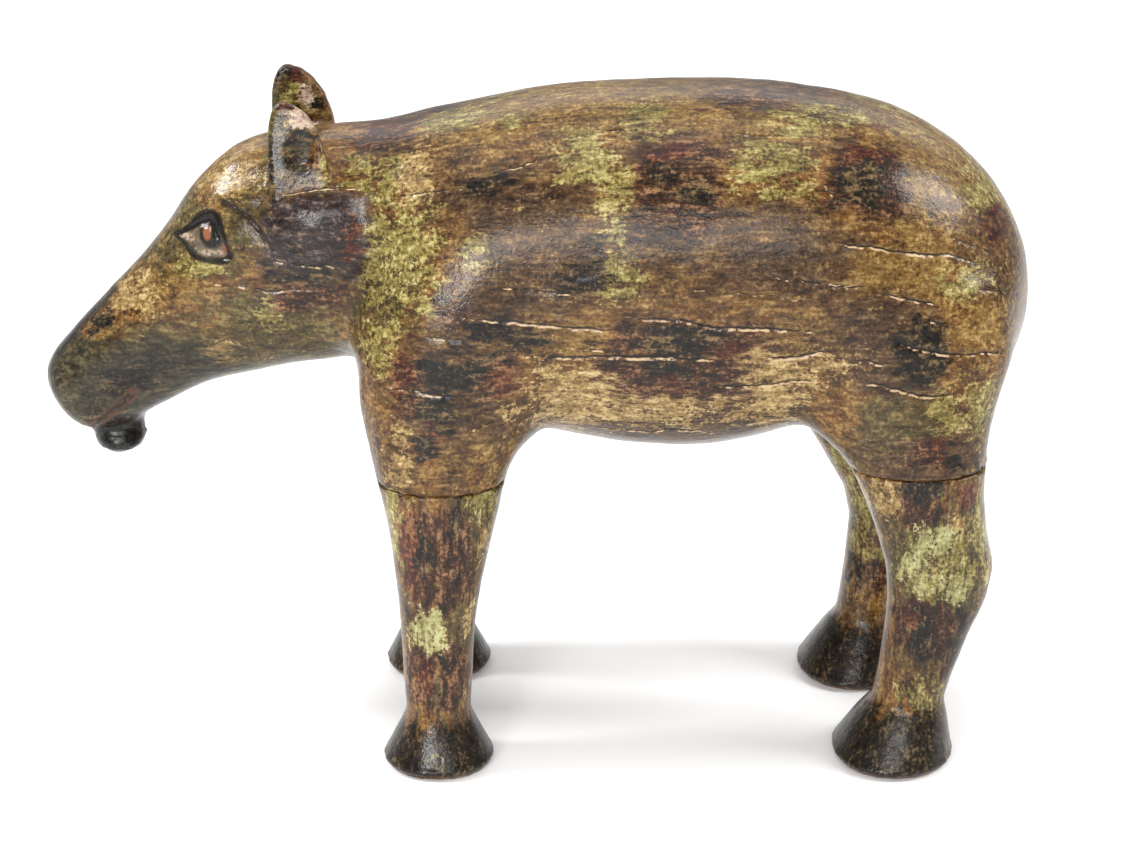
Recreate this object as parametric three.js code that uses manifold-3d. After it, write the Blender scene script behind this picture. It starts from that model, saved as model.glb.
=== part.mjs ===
// A carved, painted wooden pig that stands on its own four hooves.
// Head and trunk are one block with lengthwise grain. Four upright-grained legs are glued under it.
// Millimetres, +Z up. The pig faces -X and its left side faces -Y.
// The origin is on the floor, under the middle of the pig.
import * as THREE from "three";
import { mergeVertices } from "three/addons/utils/BufferGeometryUtils.js";
import Module from "manifold-3d";

const wasm = await Module();
wasm.setup();

// Trunk: a barrel along X, rounded off at chest and rump.
const CHEST_X = -163;
const SHOULDER_X = -62;
const HIP_X = 250;
const RUMP_X = 448;
const CHEST_ROUNDING = 2.4;
const RUMP_ROUNDING = 2.35;
const TRUNK_SQUARENESS = 2.15;
const TRUNK_CORE = { fromX: -60, fromZ: 450, toX: 310, toZ: 440 };
// x, top, underside, half width
const TRUNK_LINES = [
  [CHEST_X, 580, 262, 124],
  [SHOULDER_X, 598, 304, 134],
  [10, 612, 299, 138],
  [70, 617, 287, 140],
  [150, 619, 282, 141],
  [205, 617, 293, 140],
  [HIP_X, 611, 306, 138],
  [RUMP_X, 583, 267, 130],
];

// Head: a tapering block that leaves the chest and dips forward to a blunt snout.
const HEAD_ROOT_X = -150;
const HEAD_ROOT_Z = 470;
const HEAD_DIP = THREE.MathUtils.degToRad(30);
const HEAD_CORE = { from: -100, to: 294, up: 12 };
const SNOUT_ROUNDING_START = 272;
const SNOUT_LENGTH = 328;
const SNOUT_BLUNTNESS = 8;
const HEAD_SQUARENESS = 2.4;
// distance along the head, top, underside, half width
const HEAD_LINES = [
  [-150, 46, -100, 98],
  [-90, 77, -102, 92],
  [-37, 103, -100, 83],
  [0, 121, -95, 76],
  [43, 138, -88, 70],
  [63, 140, -83, 68],
  [88, 135, -75, 66],
  [115, 126, -63, 63],
  [145, 111, -53, 58],
  [175, 98, -44, 53],
  [203, 89, -37, 49],
  [250, 75, -36, 44],
  [299, 59, -32, 42],
  [SNOUT_LENGTH, 51, -20, 40],
];

// Cheek muscle below the ear, and the round knob under the chin.
const CHEEK = { x: -188, y: 50, z: 504, long: 62, deep: 34.5, high: 45 };
const CHIN = { x: -387, z: 290, long: 25, deep: 25, high: 26.5 };

// Shoulders and haunches: bulges that carry the trunk down to the legs.
const FRONT_SEAM_Z = 280;
const HIND_SEAM_Z = 293;
const FRONT_CUT_X = 0;
const HIND_CUT_X = 232;
const CUT_PAST = 250;
const GLUE_LINE = 0.3;
const LIMB_BLEND = 34;
const NECK_FILLET = 34;
const FILLET_ROOM = 18;
const SINK = 6;
const SINK_SHARE = 0.6;
const BULGE_LIFT = 12;
const BULGE_FOOT_Z = 340;
const BULGE_FADE_Z = 350;
const BULGE_TOP_Z = 405;
const LIMB_SQUARENESS = 2.2;
// height, centre x, centre y, half length, half width
const SHOULDER_LINES = [
  [258, -87, 101, 53, 45],
  [281, -86, 100, 58, 46.5],
  [320, -82, 97, 71.5, 48],
  [396, -79, 84, 85.5, 54],
  [455, -74, 66, 78, 58],
];
const HAUNCH_LINES = [
  [268, 347, 94, 57, 46],
  [293, 342, 94, 62, 48],
  [330, 329, 90, 80, 51],
  [396, 332, 78, 92, 57],
  [455, 326, 62, 94, 60],
];

// Legs, from the ankle up to the glue line.
const FRONT_LEG_LINES = [
  [54, -91.5, 105.5, 30, 31],
  [81, -91.5, 105, 31.5, 32],
  [122, -91, 104, 33.5, 33.5],
  [163, -90, 103, 37, 36],
  [203, -88, 102, 43, 39.5],
  [242, -86, 101, 50, 43],
  [FRONT_SEAM_Z, -86, 100, 58, 46.5],
];
const HIND_LEG_LINES = [
  [60, 343, 95, 33, 32.5],
  [87, 349, 95, 35, 33],
  [117, 355, 95, 38.2, 34],
  [148, 362.5, 95, 42.5, 35.5],
  [168, 366.5, 95, 46.5, 37],
  [188, 367.5, 95, 49.5, 39],
  [213, 361.5, 95, 49.5, 41],
  [248, 352.5, 94.5, 52.5, 44],
  [HIND_SEAM_Z, 342, 94, 62, 48],
];
// Hooves flare out from the ankle to a flat sole with its edge cut back under.
const FRONT_HOOF = { high: 53, forward: 0, long: 51, wide: 50, swell: 1.1 };
const HIND_HOOF = { high: 60, forward: -13, long: 56, wide: 63, swell: 0.9 };
const SOLE_EDGE_HIGH = 8;
const SOLE_EDGE_IN = 0.1;
// Where each leg stands: side, set back along X, more so at the top, and its hoof set out sideways.
const LEFT = -1;
const RIGHT = 1;
const FRONT_LEFT = { side: LEFT, back: 0, topBack: 0, out: 0 };
const FRONT_RIGHT = { side: RIGHT, back: -8, topBack: 0, out: -8 };
const HIND_LEFT = { side: LEFT, back: 0, topBack: 0, out: -3 };
const HIND_RIGHT = { side: RIGHT, back: -20, topBack: -20, out: -7 };
const LEAN_FROM_Z = 170;
const LEAN_TO_Z = 260;

// Ears: upright leaves with a hollow on the outer face.
const EAR = { frontX: -233, backX: -179, footZ: 508, footY: 61, tipY: 55 };
const LEFT_EAR = { tipX: -223, tipZ: 620, swell: 3 };
const RIGHT_EAR = { tipX: -226, tipZ: 627, swell: 8 };
const EAR_FRONT_SHARE = 0.55;
const EAR_TIP_ROUND = 4;
const EAR_BACK_SWELL = 25;
const EAR_BACK_RISE = 82;
const EAR_THICK = 21;
const EAR_TIP_THICK = 0.45;
const EAR_BEVEL = 4;
const EAR_TURN = 0.16;
const EAR_HOLLOW = { x: -206, z: 578, long: 15, deep: 5, high: 29 };

// Eyes: three-cornered recesses with a shallow ball in each, under a brow and a groove behind it.
const EYE = { x: -293, z: 491, recess: 6.5, ball: 26, ballIn: 0.8, cut: 30 };
const EYE_FRONT = [-28, 2];
const EYE_TOP = [5, 22];
const EYE_REAR = [24, -19];
const LID_FRONT = [-14, 18];
const LID_REAR = [12, 6];
const LID_UNDER = [-10, -26];
const BROW_RIDGE = [
  [-288, 527],
  [-260, 532],
  [-238, 537],
];
const BROW_HIGH = 2.4;
const BROW_RADIUS = 10;
const CHEEK_GROOVE = [
  [-277, 524],
  [-254, 513],
  [-240, 497],
  [-224, 484],
  [-195, 470],
];
const GROOVE_RADIUS = 3;
const MOUTH_CORNER = { x: -366, z: 339 };
const MOUTH_FRONT = { x: -408, z: 302 };
const MOUTH_RADIUS = 3;
const NOSTRIL = { x: -437, y: 36, z: 352, long: 5, deep: 5, high: 7 };

// Fineness of the faces: round the form, and along it.
const TRUNK_FACES = { caps: 6, facets: 36, rings: 15 };
const HEAD_FACES = { caps: 5, facets: 28, rings: 19 };
const BULGE_FACES = { caps: 2, facets: 18, rings: 6 };
const KNOB_FACES = { facets: 16, rings: 9 };
const HOLLOW_FACES = { facets: 12, rings: 7 };
const GOUGE_FACES = { caps: 3, facets: 8, rings: 5 };
const MOUTH_FACES = { caps: 3, facets: 8, rings: 10 };
const LIP_STEPS = 3;
const CURVE_STEPS = 6;
const EDGE_RINGS = 2;
const HOOF_RINGS = 5;
const SHANK_RINGS = 7;
const LEG_FACETS = 20;
const SEARCH_STEP = 4;
const SEARCH_LIMIT = 330;
const SEARCH_HALVINGS = 24;
const FACING_STEP = 1.5;
const WELD = 1e-3;
const TINY = 1e-6;

const clamp = THREE.MathUtils.clamp;
const smoothstep = THREE.MathUtils.smoothstep;

// Reads a table of stations as smooth curves of its first column.
function smoothLines(rows) {
  const slope = (i, c) => {
    const a = rows[Math.max(i - 1, 0)];
    const b = rows[Math.min(i + 1, rows.length - 1)];
    return (b[c] - a[c]) / (b[0] - a[0]);
  };
  return (at) => {
    const t = clamp(at, rows[0][0], rows[rows.length - 1][0]);
    let i = 0;
    while (i < rows.length - 2 && t > rows[i + 1][0]) {
      i += 1;
    }
    const span = rows[i + 1][0] - rows[i][0];
    const s = (t - rows[i][0]) / span;
    const out = [];
    for (let c = 1; c < rows[0].length; c += 1) {
      const h00 = (1 + 2 * s) * (1 - s) * (1 - s);
      const h10 = s * (1 - s) * (1 - s);
      const h01 = s * s * (3 - 2 * s);
      const h11 = s * s * (s - 1);
      const slopes = h10 * slope(i, c) + h11 * slope(i + 1, c);
      out.push(h00 * rows[i][c] + h01 * rows[i + 1][c] + span * slopes);
    }
    return out;
  };
}

const trunkLine = smoothLines(TRUNK_LINES);
const headLine = smoothLines(HEAD_LINES);

// Signed distance, about, from a rounded section with the given half sizes.
function fromSection(a, b, halfA, halfB, power, past) {
  const u = Math.abs(a) / Math.max(halfA, 1);
  const v = Math.abs(b) / Math.max(halfB, 1);
  const reach = Math.pow(Math.pow(u, power) + Math.pow(v, power), 1 / power);
  const size = Math.hypot(a, b);
  const across = reach < TINY ? -Math.min(halfA, halfB) : size * (1 - 1 / reach);
  return past === 0 ? across : Math.hypot(Math.max(across, 0), past);
}

// Two forms run together with a soft fillet of the given breadth.
function blend(a, b, breadth) {
  const h = Math.max(breadth - Math.abs(a - b), 0) / breadth;
  return Math.min(a, b) - (h * h * breadth) / 4;
}

// How full a section still is on its way to a rounded end.
function endFullness(at, start, end, power) {
  const u = clamp((at - start) / (end - start), 0, 1);
  return Math.sqrt(1 - Math.pow(u, power));
}

function trunkBarrel(p) {
  const x = clamp(p.x, CHEST_X, RUMP_X);
  const [top, under, half] = trunkLine(x);
  const front = endFullness(x, SHOULDER_X, CHEST_X, CHEST_ROUNDING);
  const back = endFullness(x, HIP_X, RUMP_X, RUMP_ROUNDING);
  const full = front * back;
  const high = (full * (top - under)) / 2;
  return fromSection(p.z - (top + under) / 2, p.y, high, full * half, TRUNK_SQUARENESS, p.x - x);
}

const shoulderLine = smoothLines(SHOULDER_LINES);
const haunchLine = smoothLines(HAUNCH_LINES);
const BULGES = [
  { line: shoulderLine, rows: SHOULDER_LINES, stand: FRONT_LEFT },
  { line: shoulderLine, rows: SHOULDER_LINES, stand: FRONT_RIGHT },
  { line: haunchLine, rows: HAUNCH_LINES, stand: HIND_LEFT },
  { line: haunchLine, rows: HAUNCH_LINES, stand: HIND_RIGHT },
];

// How far along X a leg stands from its table, at a height.
function setBack(stand, z) {
  return stand.back + stand.topBack * smoothstep(z, LEAN_FROM_Z, LEAN_TO_Z);
}

// The bulge over one leg, from a height up.
function limb(p, { line, rows, stand }, lowest) {
  const z = clamp(p.z, lowest, rows[rows.length - 1][0]);
  const [cx, cy, long, wide] = line(z);
  const along = p.x - cx - setBack(stand, z);
  return fromSection(along, p.y - stand.side * cy, long, wide, LIMB_SQUARENESS, p.z - z);
}

// The barrel with the shoulders and haunches swelling out of it, down to where the legs begin to stand free.
function trunkForm(p) {
  let distance = trunkBarrel(p);
  for (const bulge of BULGES) {
    distance = blend(distance, limb(p, bulge, BULGE_FOOT_Z), LIMB_BLEND);
  }
  return distance;
}

const HEAD_AXIS = new THREE.Vector3(-Math.cos(HEAD_DIP), 0, -Math.sin(HEAD_DIP));
const HEAD_UP = new THREE.Vector3(-Math.sin(HEAD_DIP), 0, Math.cos(HEAD_DIP));
const HEAD_ROOT = new THREE.Vector3(HEAD_ROOT_X, 0, HEAD_ROOT_Z);

function headBlock(p) {
  const rel = p.clone().sub(HEAD_ROOT);
  const along = rel.dot(HEAD_AXIS);
  const up = rel.dot(HEAD_UP);
  const t = clamp(along, HEAD_LINES[0][0], SNOUT_LENGTH);
  const [top, under, half] = headLine(t);
  const full = endFullness(t, SNOUT_ROUNDING_START, SNOUT_LENGTH, SNOUT_BLUNTNESS);
  const high = (full * (top - under)) / 2;
  return fromSection(up - (top + under) / 2, p.y, high, full * half, HEAD_SQUARENESS, along - t);
}

// One form run into another with a fillet. Away from its own shape it sinks just under the other's skin.
function runInto(own, host, fillet) {
  return (p) => {
    const distance = own(p);
    return blend(distance, host(p), fillet) + SINK * smoothstep(distance, 0, SINK_SHARE * fillet);
  };
}

const headForm = runInto(headBlock, trunkForm, NECK_FILLET);

// Length from a point along a direction to the outermost skin of a form.
function skinAt(from, direction, form) {
  const probe = new THREE.Vector3();
  const depth = (s) => form(probe.copy(direction).multiplyScalar(s).add(from));
  let inner = SEARCH_LIMIT;
  while (inner > 0 && depth(inner) > 0) {
    inner -= SEARCH_STEP;
  }
  let outer = inner + SEARCH_STEP;
  for (let i = 0; i < SEARCH_HALVINGS; i += 1) {
    const middle = (inner + outer) / 2;
    if (depth(middle) > 0) {
      outer = middle;
    } else {
      inner = middle;
    }
  }
  return (inner + outer) / 2;
}

// Drops seams and zero-area triangles so that a geometry closes on itself.
function closed(geometry) {
  geometry.deleteAttribute("normal");
  geometry.deleteAttribute("uv");
  const merged = mergeVertices(geometry, WELD);
  const index = merged.index.array;
  const kept = [];
  for (let i = 0; i < index.length; i += 3) {
    const [a, b, c] = [index[i], index[i + 1], index[i + 2]];
    if (a !== b && b !== c && c !== a) {
      kept.push(a, b, c);
    }
  }
  merged.setIndex(kept);
  return merged;
}

// A closed solid. One that is drawn for the left side is turned over for the right.
function solid(geometry, side = LEFT) {
  const merged = closed(geometry);
  if (side === RIGHT) {
    merged.scale(1, -1, 1);
    merged.index.array.reverse();
  }
  const vertProperties = new Float32Array(merged.attributes.position.array);
  const triVerts = new Uint32Array(merged.index.array);
  return new wasm.Manifold(new wasm.Mesh({ numProp: 3, vertProperties, triVerts }));
}

function geometryOf(manifold) {
  const mesh = manifold.getMesh();
  const geometry = new THREE.BufferGeometry();
  geometry.setAttribute("position", new THREE.BufferAttribute(mesh.vertProperties, 3));
  geometry.setIndex(new THREE.BufferAttribute(mesh.triVerts, 1));
  geometry.computeVertexNormals();
  return geometry;
}

// A capsule laid along an axis and swelled to a form's skin, but no further from its core than a fillet needs.
function swelled(from, to, form, core, { caps, facets, rings }) {
  const geometry = new THREE.CapsuleGeometry(1, 2, caps, facets, rings);
  const axis = to.clone().sub(from);
  const ahead = axis.clone().normalize();
  const side = new THREE.Vector3(0, -1, 0);
  const up = new THREE.Vector3().crossVectors(side, ahead);
  const place = geometry.attributes.position;
  const spot = new THREE.Vector3();
  for (let i = 0; i < place.count; i += 1) {
    spot.fromBufferAttribute(place, i);
    const foot = clamp(spot.y, -1, 1);
    const start = from.clone().addScaledVector(axis, (foot + 1) / 2);
    const outward = new THREE.Vector3();
    outward.addScaledVector(ahead, spot.y - foot);
    outward.addScaledVector(side, spot.x);
    outward.addScaledVector(up, spot.z);
    outward.normalize();
    const widest = skinAt(start, outward, core) + FILLET_ROOM;
    const end = start.addScaledVector(outward, Math.min(skinAt(start, outward, form), widest));
    place.setXYZ(i, end.x, end.y, end.z);
  }
  return solid(geometry);
}

// The flat cut where a pair of legs is glued on.
function glueCut(fromX, toX, seam) {
  const high = seam + GLUE_LINE;
  const geometry = new THREE.BoxGeometry(toX - fromX, 2 * CUT_PAST, high);
  geometry.translate((fromX + toX) / 2, 0, high / 2);
  return solid(geometry);
}

function ball({ x, z, long, deep, high }, y, { facets, rings }, side = LEFT) {
  const geometry = new THREE.SphereGeometry(1, facets, rings);
  geometry.rotateX(Math.PI / 2);
  geometry.scale(long, deep, high);
  geometry.translate(x, y, z);
  return solid(geometry, side);
}

// A point on the left side of the head, and the way the skin faces there.
function headSide(x, z) {
  const out = new THREE.Vector3(0, LEFT, 0);
  const spot = new THREE.Vector3(x, 0, z);
  spot.addScaledVector(out, skinAt(spot, out, headForm));
  const facing = new THREE.Vector3();
  for (const key of ["x", "y", "z"]) {
    const ahead = spot.clone();
    const behind = spot.clone();
    ahead[key] += FACING_STEP;
    behind[key] -= FACING_STEP;
    facing[key] = headForm(ahead) - headForm(behind);
  }
  facing.normalize();
  return { spot, facing };
}

function makeEar(side) {
  const { tipX, tipZ, swell } = side === LEFT ? LEFT_EAR : RIGHT_EAR;
  const high = tipZ - EAR.footZ;
  const front = EAR.frontX - swell;
  const leaf = new THREE.Shape();
  leaf.moveTo(EAR.frontX, EAR.footZ);
  leaf.lineTo(front, EAR.footZ + EAR_FRONT_SHARE * high);
  leaf.quadraticCurveTo(front, tipZ - 2 * EAR_TIP_ROUND, tipX, tipZ - EAR_TIP_ROUND);
  const shoulder = [tipX + EAR_BACK_SWELL, tipZ - 2 * EAR_TIP_ROUND];
  leaf.bezierCurveTo(...shoulder, EAR.backX, EAR.footZ + EAR_BACK_RISE, EAR.backX, EAR.footZ);
  leaf.closePath();
  const geometry = new THREE.ExtrudeGeometry(leaf, {
    depth: EAR_THICK - 2 * EAR_BEVEL,
    bevelEnabled: true,
    bevelThickness: EAR_BEVEL,
    bevelSize: EAR_BEVEL,
    bevelOffset: -EAR_BEVEL,
    bevelSegments: 2,
    curveSegments: CURVE_STEPS,
  });
  geometry.translate(0, 0, EAR_BEVEL - EAR_THICK / 2);
  geometry.rotateX(Math.PI / 2);
  const settled = (x, y, z) => {
    const up = (z - EAR.footZ) / high;
    const thin = 1 + (EAR_TIP_THICK - 1) * up;
    const lean = EAR.footY + (EAR.tipY - EAR.footY) * up;
    return y * thin - lean - EAR_TURN * (x - EAR.backX) * up;
  };
  const place = geometry.attributes.position;
  for (let i = 0; i < place.count; i += 1) {
    place.setY(i, settled(place.getX(i), place.getY(i), place.getZ(i)));
  }
  const face = settled(EAR_HOLLOW.x, -EAR_THICK / 2, EAR_HOLLOW.z);
  return solid(geometry, side).subtract(ball(EAR_HOLLOW, face, HOLLOW_FACES, side));
}

// The recess of one eye, set square to the skin, and the ball left standing in it.
function eyeTools(side) {
  const { spot, facing } = headSide(EYE.x, EYE.z);
  const back = new THREE.Vector3(1, 0, 0);
  back.addScaledVector(facing, -back.dot(facing)).normalize();
  const up = new THREE.Vector3().crossVectors(facing, back);
  const lids = new THREE.Shape();
  lids.moveTo(...EYE_FRONT);
  lids.quadraticCurveTo(...LID_FRONT, ...EYE_TOP);
  lids.quadraticCurveTo(...LID_REAR, ...EYE_REAR);
  lids.quadraticCurveTo(...LID_UNDER, ...EYE_FRONT);
  const depth = EYE.cut;
  const geometry = new THREE.ExtrudeGeometry(lids, { depth, bevelEnabled: false, curveSegments: CURVE_STEPS });
  geometry.translate(0, 0, -EYE.recess);
  geometry.applyMatrix4(new THREE.Matrix4().makeBasis(back, up, facing).setPosition(spot));
  const recess = solid(geometry, side);
  const sunk = spot.clone().addScaledVector(facing, -EYE.ballIn - EYE.ball);
  const round = { x: sunk.x, z: sunk.z, long: EYE.ball, deep: EYE.ball, high: EYE.ball };
  return { recess, eyeball: ball(round, sunk.y, KNOB_FACES, side) };
}

// A round bar that follows a line over the skin: taken away it is a gouge cut, added it is a ridge.
function roundBar(points, radius, { caps, facets, rings }, side = LEFT) {
  const curve = new THREE.CatmullRomCurve3(points);
  const geometry = new THREE.CapsuleGeometry(1, 2, caps, facets, rings);
  const place = geometry.attributes.position;
  const spot = new THREE.Vector3();
  for (let i = 0; i < place.count; i += 1) {
    spot.fromBufferAttribute(place, i);
    const foot = clamp(spot.y, -1, 1);
    const at = curve.getPoint((foot + 1) / 2);
    const ahead = curve.getTangent((foot + 1) / 2);
    const across = new THREE.Vector3(0, 1, 0).addScaledVector(ahead, -ahead.y).normalize();
    const up = new THREE.Vector3().crossVectors(ahead, across);
    at.addScaledVector(ahead, radius * (spot.y - foot));
    at.addScaledVector(across, -radius * spot.x);
    at.addScaledVector(up, radius * spot.z);
    place.setXYZ(i, at.x, at.y, at.z);
  }
  return solid(geometry, side);
}

// The lower part of a shoulder or haunch, down past the glue line.
function makeBulge(bulge) {
  const { line, rows, stand } = bulge;
  const own = (p) => limb(p, bulge, rows[0][0]);
  const joined = runInto(own, trunkBarrel, LIMB_BLEND);
  const form = (p) => joined(p) + SINK * smoothstep(p.z, BULGE_FADE_Z, BULGE_TOP_Z);
  const low = rows[0][0] + BULGE_LIFT;
  const high = (BULGE_FOOT_Z + BULGE_TOP_Z) / 2;
  const at = (z) => new THREE.Vector3(line(z)[0] + setBack(stand, z), stand.side * line(z)[1], z);
  return swelled(at(low), at(high), form, own, BULGE_FACES);
}

// The mouth runs over the left side of the snout, round its front and back over the right.
function mouthLine() {
  const lips = [];
  for (let i = 0; i <= LIP_STEPS; i += 1) {
    const share = i / LIP_STEPS;
    const x = MOUTH_CORNER.x + share * (MOUTH_FRONT.x - MOUTH_CORNER.x);
    const z = MOUTH_CORNER.z + share * (MOUTH_FRONT.z - MOUTH_CORNER.z);
    lips.push(headSide(x, z).spot);
  }
  const others = lips.map((p) => new THREE.Vector3(p.x, -p.y, p.z)).reverse();
  return [...lips, ...others];
}

function makeBody() {
  const trunkFrom = new THREE.Vector3(TRUNK_CORE.fromX, 0, TRUNK_CORE.fromZ);
  const trunkTo = new THREE.Vector3(TRUNK_CORE.toX, 0, TRUNK_CORE.toZ);
  let body = swelled(trunkFrom, trunkTo, trunkForm, trunkForm, TRUNK_FACES);
  for (const bulge of BULGES) {
    body = body.add(makeBulge(bulge));
  }
  const headFrom = HEAD_ROOT.clone().addScaledVector(HEAD_AXIS, HEAD_CORE.from);
  const headTo = HEAD_ROOT.clone().addScaledVector(HEAD_AXIS, HEAD_CORE.to);
  headTo.addScaledVector(HEAD_UP, HEAD_CORE.up);
  body = body.add(swelled(headFrom, headTo, headForm, headBlock, HEAD_FACES));
  body = body.subtract(glueCut(CHEST_X - CUT_PAST, FRONT_CUT_X, FRONT_SEAM_Z));
  body = body.subtract(glueCut(HIND_CUT_X, RUMP_X + CUT_PAST, HIND_SEAM_Z));
  body = body.add(ball(CHIN, 0, KNOB_FACES));
  const ridge = BROW_RIDGE.map(([x, z]) => {
    const { spot, facing } = headSide(x, z);
    return spot.addScaledVector(facing, BROW_HIGH - BROW_RADIUS);
  });
  const groove = CHEEK_GROOVE.map(([x, z]) => headSide(x, z).spot);
  for (const side of [LEFT, RIGHT]) {
    body = body.add(ball(CHEEK, -CHEEK.y, KNOB_FACES, side));
    body = body.add(roundBar(ridge, BROW_RADIUS, GOUGE_FACES, side));
    body = body.add(makeEar(side));
    const { recess, eyeball } = eyeTools(side);
    body = body.subtract(recess);
    body = body.add(eyeball);
    body = body.subtract(roundBar(groove, GROOVE_RADIUS, GOUGE_FACES, side));
    body = body.subtract(ball(NOSTRIL, -NOSTRIL.y, HOLLOW_FACES, side));
  }
  body = body.subtract(roundBar(mouthLine(), MOUTH_RADIUS, MOUTH_FACES));
  return geometryOf(body);
}

// One leg: rings from the sole to the glue line, the hoof worked out from its flare.
function makeLeg(rows, hoof, seam, stand) {
  const line = smoothLines(rows);
  const hoofTop = EDGE_RINGS + HOOF_RINGS;
  const rings = hoofTop + SHANK_RINGS;
  const geometry = new THREE.CylinderGeometry(1, 1, 1, LEG_FACETS, rings);
  const place = geometry.attributes.position;
  const heightOf = (ring) => {
    if (ring <= EDGE_RINGS) {
      return (SOLE_EDGE_HIGH * ring) / EDGE_RINGS;
    }
    if (ring <= hoofTop) {
      return SOLE_EDGE_HIGH + ((hoof.high - SOLE_EDGE_HIGH) * (ring - EDGE_RINGS)) / HOOF_RINGS;
    }
    return hoof.high + ((seam - hoof.high) * (ring - hoofTop)) / SHANK_RINGS;
  };
  for (let i = 0; i < place.count; i += 1) {
    const z = heightOf(Math.round((place.getY(i) + 0.5) * rings));
    const [cx, cy, long, wide] = line(z);
    const flare = Math.pow(clamp((hoof.high - z) / (hoof.high - SOLE_EDGE_HIGH), 0, 1), hoof.swell);
    const edge = 1 - SOLE_EDGE_IN * Math.pow(Math.max(1 - z / SOLE_EDGE_HIGH, 0), 2);
    const halfX = (long + flare * (hoof.long - long)) * edge;
    const halfY = (wide + flare * (hoof.wide - wide)) * edge;
    const a = place.getX(i);
    const b = -place.getZ(i);
    const turn = Math.pow(Math.abs(a), LIMB_SQUARENESS) + Math.pow(Math.abs(b), LIMB_SQUARENESS);
    const swell = turn < TINY ? 0 : Math.pow(turn, -1 / LIMB_SQUARENESS);
    const x = cx + setBack(stand, z) + flare * hoof.forward + a * swell * halfX;
    const y = stand.side * (cy + stand.out * (1 - z / seam)) + b * swell * halfY;
    place.setXYZ(i, x, y, z);
  }
  return geometryOf(solid(geometry));
}

const BODY_COLOUR = 0x86744a;
const LEG_COLOUR = 0x74643e;
const ROUGHNESS = 0.45;
const pig = new THREE.Group();
pig.name = "carved_wooden_pig";

function addPart(name, geometry, color) {
  const wood = new THREE.MeshStandardMaterial({ color, roughness: ROUGHNESS, metalness: 0 });
  const mesh = new THREE.Mesh(geometry, wood);
  mesh.name = name;
  pig.add(mesh);
}

addPart("body", makeBody(), BODY_COLOUR);
addPart("front_left_leg", makeLeg(FRONT_LEG_LINES, FRONT_HOOF, FRONT_SEAM_Z, FRONT_LEFT), LEG_COLOUR);
addPart("front_right_leg", makeLeg(FRONT_LEG_LINES, FRONT_HOOF, FRONT_SEAM_Z, FRONT_RIGHT), LEG_COLOUR);
addPart("hind_left_leg", makeLeg(HIND_LEG_LINES, HIND_HOOF, HIND_SEAM_Z, HIND_LEFT), LEG_COLOUR);
addPart("hind_right_leg", makeLeg(HIND_LEG_LINES, HIND_HOOF, HIND_SEAM_Z, HIND_RIGHT), LEG_COLOUR);

// Set the origin on the floor under the middle of the pig.
const bounds = new THREE.Box3().setFromObject(pig);
const middle = bounds.getCenter(new THREE.Vector3());
for (const mesh of pig.children) {
  mesh.geometry.translate(-middle.x, -middle.y, -bounds.min.z);
}

export default pig;
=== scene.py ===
import math

import bmesh
import bpy
import numpy as np
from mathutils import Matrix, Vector, noise
from mathutils.bvhtree import BVHTree


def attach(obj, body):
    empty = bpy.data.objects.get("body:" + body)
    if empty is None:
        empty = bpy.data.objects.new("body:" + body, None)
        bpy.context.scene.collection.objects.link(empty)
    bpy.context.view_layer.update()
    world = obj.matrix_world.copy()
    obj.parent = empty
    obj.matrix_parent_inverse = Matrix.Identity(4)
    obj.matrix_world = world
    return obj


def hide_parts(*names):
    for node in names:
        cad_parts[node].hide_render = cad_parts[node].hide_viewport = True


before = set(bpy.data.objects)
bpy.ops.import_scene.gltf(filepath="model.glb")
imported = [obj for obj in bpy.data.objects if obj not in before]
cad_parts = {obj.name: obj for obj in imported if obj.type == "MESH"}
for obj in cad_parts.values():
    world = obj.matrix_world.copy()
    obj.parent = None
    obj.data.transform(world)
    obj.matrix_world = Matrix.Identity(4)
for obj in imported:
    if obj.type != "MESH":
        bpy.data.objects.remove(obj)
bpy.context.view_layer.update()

# The body is one log: head, ears, trunk and the tops of the legs, carved with the grain from nose to rump.
# It is sanded round, drying has opened long shallow cracks along the grain, and it is painted in blotches
# of several colours that are rubbed back to a speckle and varnished. Some of the paint is painted light and
# shade: a lighter top, a darker underside, shade in the cracks, the cheek groove, the mouth slit and under
# the upper lid, and a few highlights.

# The size of the faces that the skin is laid in, and how near two corners count as one.
BODY_FACE = 0.0047
SAME_SPOT = 1e-6
# Where the head, the nose and the muzzle end along the log, and how often each stretch is sanded.
HEAD_BACK = -0.130
NOSE_BACK = -0.385
MUZZLE_BACK = -0.345
NOSE_SANDING = 3
CHIN_SANDING = 10
HEAD_SANDING = 6
TRUNK_SANDING = 18
EAR_SANDING = 2
# Sides of the pig, as signs of y.
LEFT, RIGHT = -1, 1
# Glue lines: their heights, how far along each pair lies, and how near the line nothing is sanded.
FRONT_SEAM = 0.280
HIND_SEAM = 0.293
FRONT_LEGS_TO = 0.0
HIND_LEGS_FROM = 0.2
SEAM_HOLD = 0.0060


def even_skin(node, face):
    """A node's solid, merged, and its skin laid again in even square faces."""
    solid = bmesh.new()
    solid.from_mesh(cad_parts[node].data)
    bmesh.ops.remove_doubles(solid, verts=solid.verts, dist=SAME_SPOT)
    blank = bpy.data.meshes.new("blank")
    solid.to_mesh(blank)
    holder = bpy.data.objects.new("blank", blank)
    bpy.context.collection.objects.link(holder)
    relay = holder.modifiers.new("even faces", "REMESH")
    relay.mode = "VOXEL"
    relay.voxel_size = face
    shaped = holder.evaluated_get(bpy.context.evaluated_depsgraph_get())
    laid = bpy.data.meshes.new_from_object(shaped)
    skin = bmesh.new()
    skin.from_mesh(laid)
    bpy.data.objects.remove(holder)
    bpy.data.meshes.remove(laid)
    bpy.data.meshes.remove(blank)
    return skin, BVHTree.FromBMesh(solid)


def places_of(skin):
    return np.array([v.co for v in skin.verts])


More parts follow.
